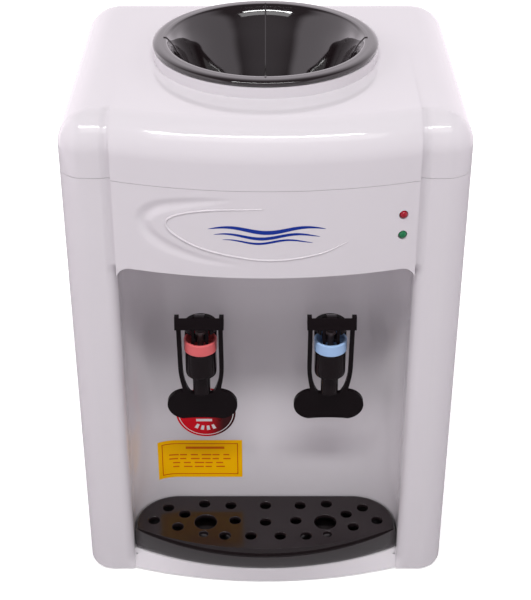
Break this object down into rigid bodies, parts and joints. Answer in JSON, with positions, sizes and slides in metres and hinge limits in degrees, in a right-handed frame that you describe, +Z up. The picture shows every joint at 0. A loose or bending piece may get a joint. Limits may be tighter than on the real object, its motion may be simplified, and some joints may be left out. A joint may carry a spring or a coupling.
{
  "type": "countertop water dispenser",
  "caption": "Countertop water dispenser with a bottle seat on top, hot and cold push taps in a niche over a lift-out drip tray, and a tank, heater and cooler inside.",
  "frame": {"origin": "on the ground under the middle of the outer box", "axes": "+Z up, -Y towards the front with the taps, +X to the right seen from the front"},
  "size_m": [0.29, 0.276, 0.4147],
  "materials": {
    "gloss_white": "gloss",
    "satin_white": "satin",
    "gloss_black": "gloss",
    "satin_black": "satin",
    "hot_ring": "satin",
    "cold_ring": "satin",
    "foot_rubber": "matte",
    "seal_rubber": "satin",
    "jacket_foam": "matte",
    "steel": "brushed",
    "aluminium": "satin",
    "board_green": "satin",
    "label_red": "gloss",
    "label_yellow": "gloss",
    "lamp_red": "gloss",
    "lamp_green": "gloss"
  },
  "bodies": {
    "housing": {"front_panel": "gloss_white", "top_cover": "gloss_white", "rear_housing": "satin_white", "rear_grille": "satin_black", "base_plate": "steel", "round_label": "label_red", "notice_label": "label_yellow", "foot_front_left": "foot_rubber", "foot_front_right": "foot_rubber", "foot_rear_left": "foot_rubber", "foot_rear_right": "foot_rubber", "hot_tap_body": "gloss_black", "hot_tap_ring": "hot_ring", "hot_tap_gasket": "foot_rubber", "hot_tap_nut": "satin_black", "hot_tap_pin": "steel", "cold_tap_body": "gloss_black", "cold_tap_ring": "cold_ring", "cold_tap_gasket": "foot_rubber", "cold_tap_nut": "satin_black", "cold_tap_pin": "steel", "cold_tank": "steel", "cold_tank_lid": "satin_white", "cold_tank_foam": "jacket_foam", "cooler_block": "aluminium", "cooler_module": "satin_white", "heat_sink": "aluminium", "fan_frame": "satin_black", "hot_tank": "steel", "hot_tank_lid": "steel", "band_heater": "steel", "control_thermostat": "satin_black", "limit_thermostat": "satin_black", "tank_bracket": "steel", "power_board": "board_green", "board_stand": "steel", "indicator_board": "board_green", "hot_lens": "lamp_red", "cold_lens": "lamp_green", "switch_frame": "satin_black", "cord_gland": "satin_black", "cold_hose": "seal_rubber", "hot_hose": "seal_rubber", "feed_hose": "seal_rubber", "drain_hose": "seal_rubber", "drain_elbow": "satin_white", "seat_gasket": "seal_rubber"},
    "seat": {"bottle_seat": "gloss_black"},
    "tray": {"drip_tray": "gloss_black"},
    "grille": {"drip_grille": "gloss_black"},
    "hot_lever": {"hot_tap_lever": "satin_black"},
    "cold_lever": {"cold_tap_lever": "satin_black"},
    "hot_stem": {"hot_tap_stem": "seal_rubber", "hot_tap_spring": "steel"},
    "cold_stem": {"cold_tap_stem": "seal_rubber", "cold_tap_spring": "steel"},
    "fan": {"fan_rotor": "satin_black"},
    "hot_switch": {"hot_rocker": "lamp_red"},
    "cold_switch": {"cold_rocker": "lamp_green"},
    "drain_plug": {"drain_cap": "satin_white"}
  },
  "joints": [
    {"name": "seat_lift", "type": "slide", "parent": "housing", "child": "seat", "axis": [0, 0, 1], "range_m": [0, 0.11]},
    {"name": "tray_draw", "type": "slide", "parent": "housing", "child": "tray", "axis": [0, -1, 0], "range_m": [0, 0.075]},
    {"name": "grille_lift", "type": "slide", "parent": "tray", "child": "grille", "axis": [0, 0, 1], "range_m": [0, 0.03]},
    {"name": "hot_lever_press", "type": "hinge", "parent": "housing", "child": "hot_lever", "pos_m": [-0.0493, -0.1115, 0.2355], "axis": [1, 0, 0], "range_deg": [0, 12], "stiffness_Nm_per_rad": 0.6, "springref_deg": -5.73},
    {"name": "cold_lever_press", "type": "hinge", "parent": "housing", "child": "cold_lever", "pos_m": [0.0493, -0.1115, 0.2355], "axis": [1, 0, 0], "range_deg": [0, 12], "stiffness_Nm_per_rad": 0.6, "springref_deg": -5.73},
    {"name": "hot_stem_lift", "type": "slide", "parent": "housing", "child": "hot_stem", "axis": [0, 0, 1], "range_m": [0, 0.003], "deforming": ["hot_tap_spring"]},
    {"name": "cold_stem_lift", "type": "slide", "parent": "housing", "child": "cold_stem", "axis": [0, 0, 1], "range_m": [0, 0.003], "deforming": ["cold_tap_spring"]},
    {"name": "fan_spin", "type": "hinge", "parent": "housing", "child": "fan", "pos_m": [0, 0.11, 0.258], "axis": [0, 1, 0], "continuous": true},
    {"name": "hot_switch_tilt", "type": "hinge", "parent": "housing", "child": "hot_switch", "pos_m": [-0.108, 0.126, 0.322], "axis": [1, 0, 0], "range_deg": [0, 14]},
    {"name": "cold_switch_tilt", "type": "hinge", "parent": "housing", "child": "cold_switch", "pos_m": [-0.088, 0.126, 0.322], "axis": [1, 0, 0], "range_deg": [0, 14]},
    {"name": "drain_pull", "type": "slide", "parent": "housing", "child": "drain_plug", "axis": [0, 1, 0], "range_m": [0, 0.03]}
  ],
  "couplings": [
    {"joint": "hot_stem_lift", "follows": "hot_lever_press", "m_per_rad": 0.012},
    {"joint": "cold_stem_lift", "follows": "cold_lever_press", "m_per_rad": 0.012}
  ]
}
